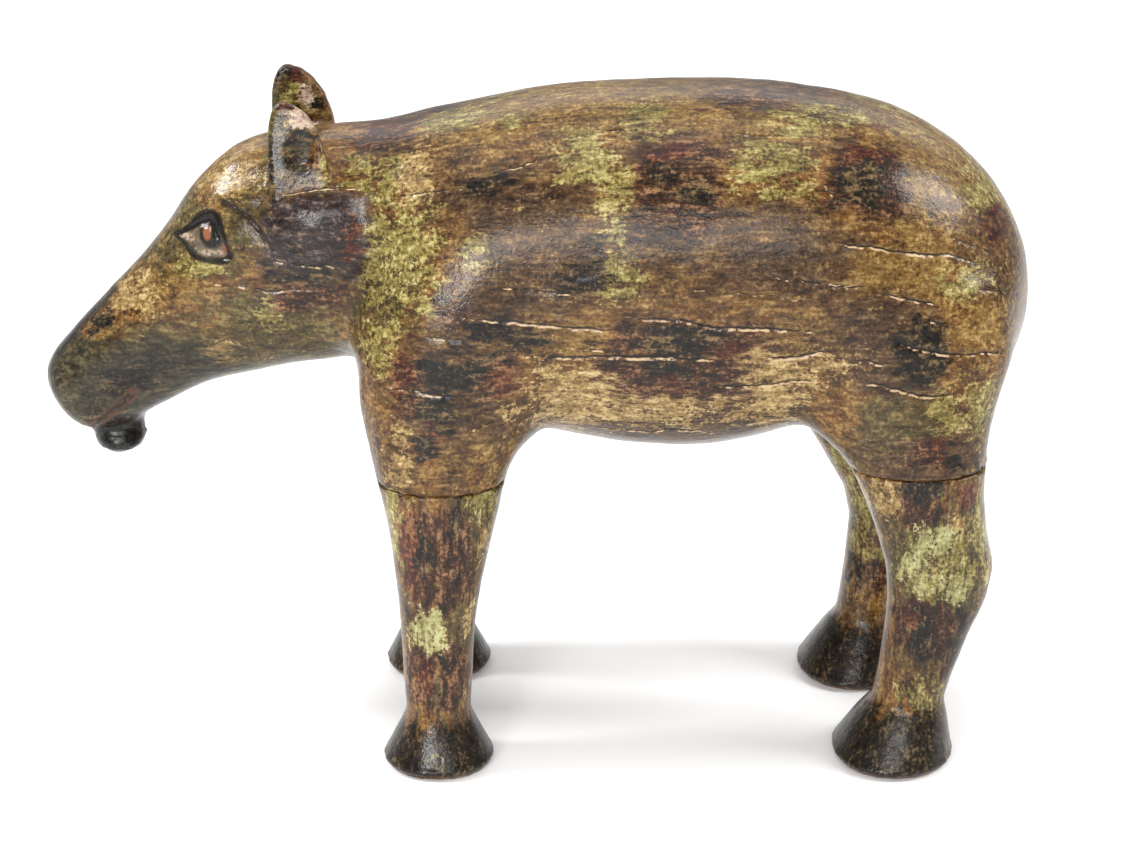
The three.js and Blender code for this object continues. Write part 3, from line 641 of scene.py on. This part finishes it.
def swayed(tree, start, parts):
    """A start value, pushed up and down by each noise times its weight."""
    total = start
    for part, weight in parts:
        total = maths(tree, "MULTIPLY_ADD", maths(tree, "SUBTRACT", part, 0.5), weight, total)
    return total


def ranged(tree, value, low, high, to_low=0.0, to_high=1.0):
    """Runs softly from one value at low to another at high."""
    inputs = {0: value, 1: low, 2: high, 3: to_low, 4: to_high}
    return wire(tree, "ShaderNodeMapRange", inputs, interpolation_type="SMOOTHSTEP").outputs[0]


def blended(tree, cover, under, over):
    return wire(tree, "ShaderNodeMix", {0: cover, 6: under, 7: over}, data_type="RGBA").outputs[2]


def attribute(tree, name):
    return wire(tree, "ShaderNodeAttribute", attribute_name=name)


RUB_STOPS = (0.08, 0.40, 0.62, 0.94)


def rubbed(tree, value, colours):
    """Rubbed paint: deep in the grain, then the two tones of the coat, then the worn high spots."""
    made = wire(tree, "ShaderNodeValToRGB", {0: value})
    stops = made.color_ramp.elements
    while len(stops) < len(colours):
        stops.new(0.5)
    for stop, place, colour in zip(stops, RUB_STOPS, colours):
        stop.position = place
        stop.color = colour
    return made.outputs[0]


EARTH = [tone(42, 28, 15), tone(80, 57, 33), tone(106, 80, 48), tone(150, 124, 80)]
RUST = [tone(50, 28, 12), tone(92, 60, 28), tone(118, 83, 42), tone(158, 126, 75)]
COATS = {
    "ochre": [tone(76, 54, 26), tone(110, 83, 44), tone(132, 104, 58), tone(172, 146, 96)],
    "olive": [tone(38, 33, 17), tone(68, 58, 34), tone(90, 77, 46), tone(132, 118, 78)],
    "brown": [tone(33, 22, 13), tone(63, 44, 29), tone(84, 62, 42), tone(122, 98, 71)],
    "moss": [tone(22, 21, 16), tone(45, 41, 30), tone(63, 57, 42), tone(94, 84, 64)],
    "lime": [tone(76, 64, 31), tone(112, 101, 54), tone(141, 129, 77), tone(190, 180, 129)],
    "cream": [tone(84, 64, 36), tone(130, 104, 65), tone(162, 137, 92), tone(204, 184, 140)],
    "maroon": [tone(16, 8, 4), tone(44, 25, 15), tone(78, 49, 32), tone(146, 111, 82)],
    "plum": [tone(18, 13, 14), tone(42, 33, 35), tone(64, 53, 54), tone(124, 110, 108)],
    "dark": [tone(3, 2, 1), tone(16, 12, 8), tone(44, 34, 23), tone(120, 98, 68)],
    "red": [tone(28, 9, 4), tone(58, 24, 13), tone(82, 40, 25), tone(138, 96, 68)],
    # Pale pink tones, partly a painted highlight on the ear.
    "pink_and_highlight": [tone(104, 82, 70), tone(162, 137, 122), tone(192, 171, 159), tone(224, 209, 199)],
    "chin": [tone(8, 8, 7), tone(18, 17, 15), tone(28, 27, 24), tone(70, 66, 57)],
    "mint": [tone(88, 80, 45), tone(136, 130, 85), tone(162, 159, 113), tone(194, 193, 149)],
    "hoof": [tone(8, 6, 4), tone(28, 22, 15), tone(48, 38, 27), tone(104, 89, 67)],
    "rim": [tone(42, 23, 13), tone(84, 51, 32), tone(112, 73, 48), tone(152, 115, 84)],
    "plug": [tone(60, 52, 42), tone(104, 96, 82), tone(130, 122, 106), tone(164, 156, 140)],
}
# Coats that were wiped on thin, so that their edges fade into the coat below.
GLAZES = ("ochre", "olive", "brown", "moss", "plum")
# The pale colour of a crack's lower lip, partly a painted highlight.
CRACK_PALE_LIT = tone(204, 176, 146)
# Painted shade down the middle of each crack.
CRACK_SHADE = tone(20, 14, 10)
VARNISH_TINT = (0.86, 0.835, 0.74, 1)
# How far the brush strokes and the grain are drawn out along the wood.
STROKE_PULL = 0.40
GRAIN_PULL = 0.10
WEAR_SHIFTS = (0.0, 3.1, 7.7)
RUB_SHIFT = 12.3
# Wear and specks: marks to a metre, detail and roughness.
WEAR_MARKS = (95, 4, 0.76)
RUB_MARKS = (150, 3, 0.72)
GRAIN_MARKS = (300, 2, 0.60)
SPECK_MARKS = (300, 2, 0.70)
CLOUD_MARKS = (15, 4, 0.60)
CHIP_MARKS = (95, 3, 0.65)
# Levels of that wear between which each thing comes in.
RUST_FROM = (0.46, 0.56)
HIGH_FLECKS = (0.63, 0.72)
LOW_FLECKS = (0.25, 0.34)
CHIPPED = (0.45, 0.55)
LIP_PALE_LIT = (0.10, 0.28)
CRACK_SHADE_LEVELS = (0.08, 0.28)
FACE_WORN = (0.30, 0.42)
# Flecks of the lighter and darker ground show through every coat laid before the first of these.
FLECKED_BEFORE = ("moss", "maroon")
# How ragged the wear and the specks leave a coat's edge, and over how much depth the edge fades.
EDGE_WEAR = 2.8
EDGE_SPECKS = 1.0
GLAZE_FADE = 0.30
PAINT_FADE = 0.09
DENT_DEPTH = 0.0012


def painted_wood(name, stroke_axis, coats, cracked, faced):
    """Layers of rubbed paint over wood under a satin varnish, with painted shade and a partly painted
    highlight at any cracks.
    """
    paint = bpy.data.materials.new(name)
    paint.use_nodes = True
    tree = paint.node_tree
    tree.nodes.clear()
    spot = wire(tree, "ShaderNodeTexCoord").outputs["Object"]

    def drawn_out(pull, shift=0.0):
        scale = [1.0, 1.0, 1.0]
        scale[stroke_axis] = pull
        inputs = {"Vector": spot, "Location": (shift, shift, shift), "Scale": scale}
        return wire(tree, "ShaderNodeMapping", inputs).outputs[0]

    wear = [speckle(tree, drawn_out(STROKE_PULL, shift), *WEAR_MARKS) for shift in WEAR_SHIFTS]
    rubs = speckle(tree, drawn_out(STROKE_PULL, RUB_SHIFT), *RUB_MARKS)
    grain = speckle(tree, drawn_out(GRAIN_PULL), *GRAIN_MARKS)
    specks = speckle(tree, spot, *SPECK_MARKS)
    clouds = speckle(tree, spot, *CLOUD_MARKS)
    worn = swayed(tree, 0.5, [(rubs, 1.7), (specks, 1.4), (grain, 0.7), (clouds, 0.8)])
    rusty = ranged(tree, swayed(tree, clouds, [(wear[2], 0.8)]), *RUST_FROM)
    colour = blended(tree, rusty, rubbed(tree, worn, EARTH), rubbed(tree, worn, RUST))
    flecked_before = next(coat for coat in coats if coat in FLECKED_BEFORE)
    for layer, coat in enumerate(coats):
        if coat == flecked_before:
            high = ranged(tree, swayed(tree, wear[0], [(specks, 0.6)]), *HIGH_FLECKS)
            colour = blended(tree, high, colour, rubbed(tree, worn, COATS["ochre"]))
            low = ranged(tree, swayed(tree, wear[1], [(specks, 0.6)]), *LOW_FLECKS, 1.0, 0.0)
            colour = blended(tree, low, colour, rubbed(tree, worn, COATS["brown"]))
        field = attribute(tree, coat).outputs["Fac"]
        depth = swayed(tree, field, [(wear[layer % len(wear)], EDGE_WEAR), (specks, EDGE_SPECKS)])
        fade = GLAZE_FADE if coat in GLAZES else PAINT_FADE
        colour = blended(tree, ranged(tree, depth, -fade, fade), colour, rubbed(tree, worn, COATS[coat]))
    if cracked:
        # A pale lower lip along each crack, partly a painted highlight.
        chips = ranged(tree, speckle(tree, spot, *CHIP_MARKS), *CHIPPED)
        lip = attribute(tree, "lip").outputs["Fac"]
        pale_lit_lip = maths(tree, "MULTIPLY", ranged(tree, lip, *LIP_PALE_LIT, 1.0, 0.0), chips)
        colour = blended(tree, pale_lit_lip, colour, CRACK_PALE_LIT)
        # Painted shade down the middle of each crack.
        apart = attribute(tree, "crack").outputs["Fac"]
        colour = blended(tree, ranged(tree, apart, *CRACK_SHADE_LEVELS, 0.9, 0.0), colour, CRACK_SHADE)
    if faced:
        face = attribute(tree, "face_paint")
        left_on = ranged(tree, specks, *FACE_WORN, 0.6, 1.0)
        cover = maths(tree, "MULTIPLY", face.outputs["Alpha"], left_on)
        colour = blended(tree, cover, colour, face.outputs["Color"])
    tinted = {0: 1.0, 6: colour, 7: VARNISH_TINT}
    colour = wire(tree, "ShaderNodeMix", tinted, data_type="RGBA", blend_type="MULTIPLY").outputs[2]

    def bumped(height, strength):
        inputs = {"Strength": strength, "Distance": DENT_DEPTH, "Height": height}
        return wire(tree, "ShaderNodeBump", inputs).outputs[0]

    dents = bumped(swayed(tree, worn, [(wear[0], 1.6), (grain, 1.0)]), 0.5)
    leather = bumped(swayed(tree, specks, [(rubs, 0.8)]), 0.30)
    varnish = wire(
        tree,
        "ShaderNodeBsdfPrincipled",
        {
            "Base Color": colour,
            "Roughness": ranged(tree, worn, 0.2, 0.8, 0.34, 0.50),
            "Specular IOR Level": 0.06,
            "Normal": dents,
            "Coat Weight": 0.70,
            "Coat IOR": 1.4,
            "Coat Roughness": 0.22,
            "Coat Normal": leather,
        },
    )
    output = wire(tree, "ShaderNodeOutputMaterial")
    tree.links.new(varnish.outputs[0], output.inputs["Surface"])
    return paint


BODY_LAYERS = [*BODY_COATS, "chin"]
body_mesh.materials.append(painted_wood("body_paint", 0, BODY_LAYERS, cracked=True, faced=True))
body = bpy.data.objects.new("painted_body", body_mesh)
bpy.context.collection.objects.link(body)
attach(body, "root")
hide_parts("body")

# The legs are four separate carved blocks, glued under the body with the grain upright.
# Each ends in a bell-shaped hoof, painted darker and worn to red-brown wood along its lower edge.
# One front hoof carries the ring of an old plug.

LEG_FACE = 0.0027
LEG_SANDING = 16
SOLE_HOLD = 0.0020
# The worn lip along a hoof's lower edge: its height, half breadth and how far it stands out.
RIM_HIGH = 0.0075
RIM_HALF = 0.0035
RIM_OUT = 0.0016
LEG_TOOL_MARKS = [(0.034, 0.0006), (0.012, 0.00025)]
# The plug's ring on the hoof: along and height of its middle, its radius, the width and depth of its line,
# and how far out on the hoof it lies and faces.
PLUG_SPOT = (-0.091, 0.019)
PLUG_HALF = 0.0055
PLUG_LINE = 0.0012
PLUG_SCORE = 0.0005
PLUG_OUT = 0.12
PLUG_FACING = 0.3
PLUG_BOLD = 3

# Painted blotches on the outer and inner sides of a leg: along, height, half length and half height.
FRONT_OUTER = {
    "olive": [(-0.050, 0.250, 0.030, 0.040), (-0.058, 0.150, 0.024, 0.040)],
    "lime": [(-0.125, 0.250, 0.012, 0.040), (-0.048, 0.272, 0.014, 0.014)],
    "cream": [(-0.062, 0.152, 0.004, 0.012), (-0.040, 0.230, 0.008, 0.020), (-0.068, 0.078, 0.006, 0.010)],
    "maroon": [(-0.086, 0.220, 0.032, 0.052), (-0.090, 0.095, 0.030, 0.034)],
    "dark": [
        (-0.098, 0.222, 0.012, 0.022), (-0.068, 0.258, 0.005, 0.016), (-0.070, 0.202, 0.005, 0.010),
        (-0.088, 0.086, 0.007, 0.020),
    ],
    "mint": [(-0.100, 0.146, 0.015, 0.021), (-0.092, 0.128, 0.010, 0.008)],
    "red": [(-0.112, 0.228, 0.008, 0.040), (-0.104, 0.098, 0.006, 0.014)],
}
HIND_OUTER = {
    "olive": [(0.372, 0.190, 0.046, 0.090), (0.330, 0.220, 0.016, 0.040)],
    "lime": [(0.404, 0.235, 0.012, 0.036), (0.374, 0.068, 0.030, 0.018), (0.360, 0.205, 0.026, 0.040)],
    "cream": [(0.308, 0.275, 0.016, 0.020), (0.380, 0.250, 0.010, 0.010)],
    "mint": [(0.355, 0.232, 0.018, 0.013), (0.342, 0.200, 0.009, 0.018), (0.376, 0.184, 0.010, 0.014)],
    "maroon": [(0.347, 0.268, 0.022, 0.018), (0.354, 0.142, 0.026, 0.028), (0.384, 0.120, 0.016, 0.030)],
    "dark": [
        (0.348, 0.288, 0.026, 0.009), (0.361, 0.288, 0.004, 0.008), (0.386, 0.128, 0.006, 0.034),
        (0.352, 0.134, 0.012, 0.020),
    ],
    "red": [(0.386, 0.275, 0.008, 0.012), (0.344, 0.150, 0.010, 0.008)],
}
FRONT_INNER = {
    "lime": [(-0.085, 0.150, 0.040, 0.050)],
    "maroon": [(-0.080, 0.230, 0.040, 0.030)],
    "dark": [(-0.075, 0.090, 0.020, 0.016)],
}
HIND_INNER = {
    "lime": [(0.315, 0.180, 0.040, 0.080)],
    "mint": [(0.316, 0.185, 0.006, 0.010)],
    "maroon": [(0.330, 0.110, 0.020, 0.016)],
    "dark": [(0.303, 0.115, 0.014, 0.016)],
}
LEG_SWAYS = [(0.030, 0.006), (0.010, 0.004)]
# The outer paint gives way to the inner where the leg turns away.
TURNS_IN, TURNS_OUT = -0.25, 0.15
# For each coat: the breadth over which its edge wears out, and how well it still covers within.
LEG_COATS = {
    "olive": (0.036, 0.42),
    "lime": (0.030, 0.08),
    "cream": (0.020, 0.20),
    "maroon": (0.018, 0.40),
    "dark": (0.014, 0.22),
    "mint": (0.018, 0.16),
    "red": (0.012, 0.30),
    "hoof": (0.030, 1.00),
    "rim": (0.008, 0.35),
    "plug": (0.004, 0.60),
}
FRONT_HOOF, HIND_HOOF = 0.050, 0.056
# For each leg: its side, its glue line, the top of its hoof, and the paint outside and inside.
LEGS = {
    "front_left_leg": (LEFT, FRONT_SEAM, FRONT_HOOF, FRONT_OUTER, FRONT_INNER),
    "front_right_leg": (RIGHT, FRONT_SEAM, FRONT_HOOF, FRONT_OUTER, FRONT_INNER),
    "hind_left_leg": (LEFT, HIND_SEAM, HIND_HOOF, HIND_OUTER, HIND_INNER),
    "hind_right_leg": (RIGHT, HIND_SEAM, HIND_HOOF, HIND_OUTER, HIND_INNER),
}


def from_plug(places):
    return np.hypot(places[:, 0] - PLUG_SPOT[0], places[:, 2] - PLUG_SPOT[1])


leg_paint = painted_wood("leg_paint", 2, LEG_COATS, cracked=False, faced=False)
for leg, (side, seam, hoof_top, outer_marks, inner_marks) in LEGS.items():
    skin, solid = even_skin(leg, LEG_FACE)
    plugged = leg == "front_left_leg"
    if plugged:
        for _ in range(2):
            places = places_of(skin)
            finer_faces(skin, (from_plug(places) < 2 * PLUG_HALF) & (side * places[:, 1] > PLUG_OUT))
    places = places_of(skin)
    joined = places[:, 2] > seam - SEAM_HOLD
    held = joined | (places[:, 2] < SOLE_HOLD)
    sand(skin, ~held, LEG_SANDING)
    places = places_of(skin)
    for spot in np.flatnonzero(joined):
        places[spot] = solid.find_nearest(places[spot])[0]
    move_to(skin, places)
    facings = facings_of(skin)
    level = facings * [1, 1, 0]
    lip = RIM_OUT * bell(places[:, 2], RIM_HIGH, RIM_HALF)
    tooled = sum(uneven(places, size, reach) for size, reach in LEG_TOOL_MARKS)
    ring = np.abs(from_plug(places) - PLUG_HALF)
    ring[(side * facings[:, 1] < PLUG_FACING) | (not plugged)] = 1
    scored = PLUG_SCORE * ease(PLUG_LINE, 0, ring)
    worked = facings * ((tooled - scored) * ~held)[:, None] + level * (lip * ~held)[:, None]
    move_to(skin, places + worked)
    for face in skin.faces:
        face.smooth = True
    mesh = bpy.data.meshes.new(f"painted_{leg}")
    skin.to_mesh(mesh)
    drifted = places + drift(places, LEG_SWAYS)
    outward = ease(TURNS_IN, TURNS_OUT, side * facings[:, 1])
    for coat, (edge, cover) in LEG_COATS.items():
        if coat == "hoof":
            field = np.clip((hoof_top - drifted[:, 2]) / edge, -1, cover)
        elif coat == "rim":
            field = np.clip((RIM_HIGH - RIM_HALF - places[:, 2]) / edge, -1, cover)
        elif coat == "plug":
            field = np.clip((PLUG_LINE - ring) / edge, -1, cover) * PLUG_BOLD
        else:
            outer = inside_blotches(drifted[:, 0], drifted[:, 2], outer_marks.get(coat, []), edge, cover)
            inner = inside_blotches(drifted[:, 0], drifted[:, 2], inner_marks.get(coat, []), edge, cover)
            field = np.maximum(outer - 2 * (1 - outward), inner - 2 * outward)
        store(mesh, coat, field)
    mesh.materials.append(leg_paint)
    piece = bpy.data.objects.new(f"painted_{leg}", mesh)
    bpy.context.collection.objects.link(piece)
    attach(piece, "root")
    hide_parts(leg)

# The stage: a pale floor, soft light from above, from beside the camera and over the floor behind, and a
# camera looking down at the left flank.

FLOOR_REACH = 9.0
FLOOR_WHITE = (0.97, 0.97, 0.97, 1)
FLOOR_ROUGH = 0.9
WORLD_LIGHT = 0.38
# Each softbox: where it hangs, where it looks, its width and height, and its power.
SOFTBOXES = {
    "top_softbox": ((0, -0.1, 2.5), (0, 0, 0.4), 1.8, 1.6, 18),
    "front_softbox": ((-0.1, -2.35, 1.25), (0, 0, 0.42), 1.4, 0.7, 24),
    "low_softbox": ((-0.84, -2.28, 0.76), (-0.19, -0.08, 0.5), 0.46, 0.46, 25),
    "left_softbox": ((-1.77, 0.02, 1.86), (-0.2, 0, 0.45), 0.46, 0.46, 36),
    "right_softbox": ((1.90, -0.25, 1.65), (0.3, 0, 0.45), 0.9, 0.9, 32),
    "floor_softbox": ((0, 3.2, 2.6), (0, 3.2, 0), 7.0, 3.0, 110),
}
CAMERA_PLACE = (0.0290, -2.6867, 1.3752)
CAMERA_LENS = 99.157
CAMERA_SENSOR = 36

blank = bmesh.new()
bmesh.ops.create_grid(blank, x_segments=1, y_segments=1, size=FLOOR_REACH)
floor_mesh = bpy.data.meshes.new("floor")
blank.to_mesh(floor_mesh)
floor = bpy.data.objects.new("floor", floor_mesh)
bpy.context.collection.objects.link(floor)
floor_paint = bpy.data.materials.new("floor_paint")
floor_paint.use_nodes = True
floor_finish = floor_paint.node_tree.nodes["Principled BSDF"].inputs
floor_finish["Base Color"].default_value = FLOOR_WHITE
floor_finish["Roughness"].default_value = FLOOR_ROUGH
floor_mesh.materials.append(floor_paint)

world = bpy.data.worlds.new("studio")
bpy.context.scene.world = world
world.use_nodes = True
world_glow = world.node_tree.nodes["Background"].inputs
world_glow["Color"].default_value = (1, 1, 1, 1)
world_glow["Strength"].default_value = WORLD_LIGHT

for name, (place, aim, wide, high, power) in SOFTBOXES.items():
    lamp = bpy.data.lights.new(name, "AREA")
    lamp.shape = "RECTANGLE"
    lamp.size = wide
    lamp.size_y = high
    lamp.energy = power
    hung = bpy.data.objects.new(name, lamp)
    hung.location = place
    hung.rotation_euler = (Vector(aim) - Vector(place)).to_track_quat("-Z", "Y").to_euler()
    bpy.context.collection.objects.link(hung)

camera = bpy.data.cameras.new("camera")
camera.sensor_width = CAMERA_SENSOR
camera.lens = CAMERA_LENS
eye = bpy.data.objects.new("camera", camera)
eye.location = CAMERA_PLACE
eye.rotation_euler = (math.radians(90) - LEAN, 0, 0)
bpy.context.collection.objects.link(eye)
bpy.context.scene.camera = eye
bpy.context.scene.view_settings.view_transform = "Standard"
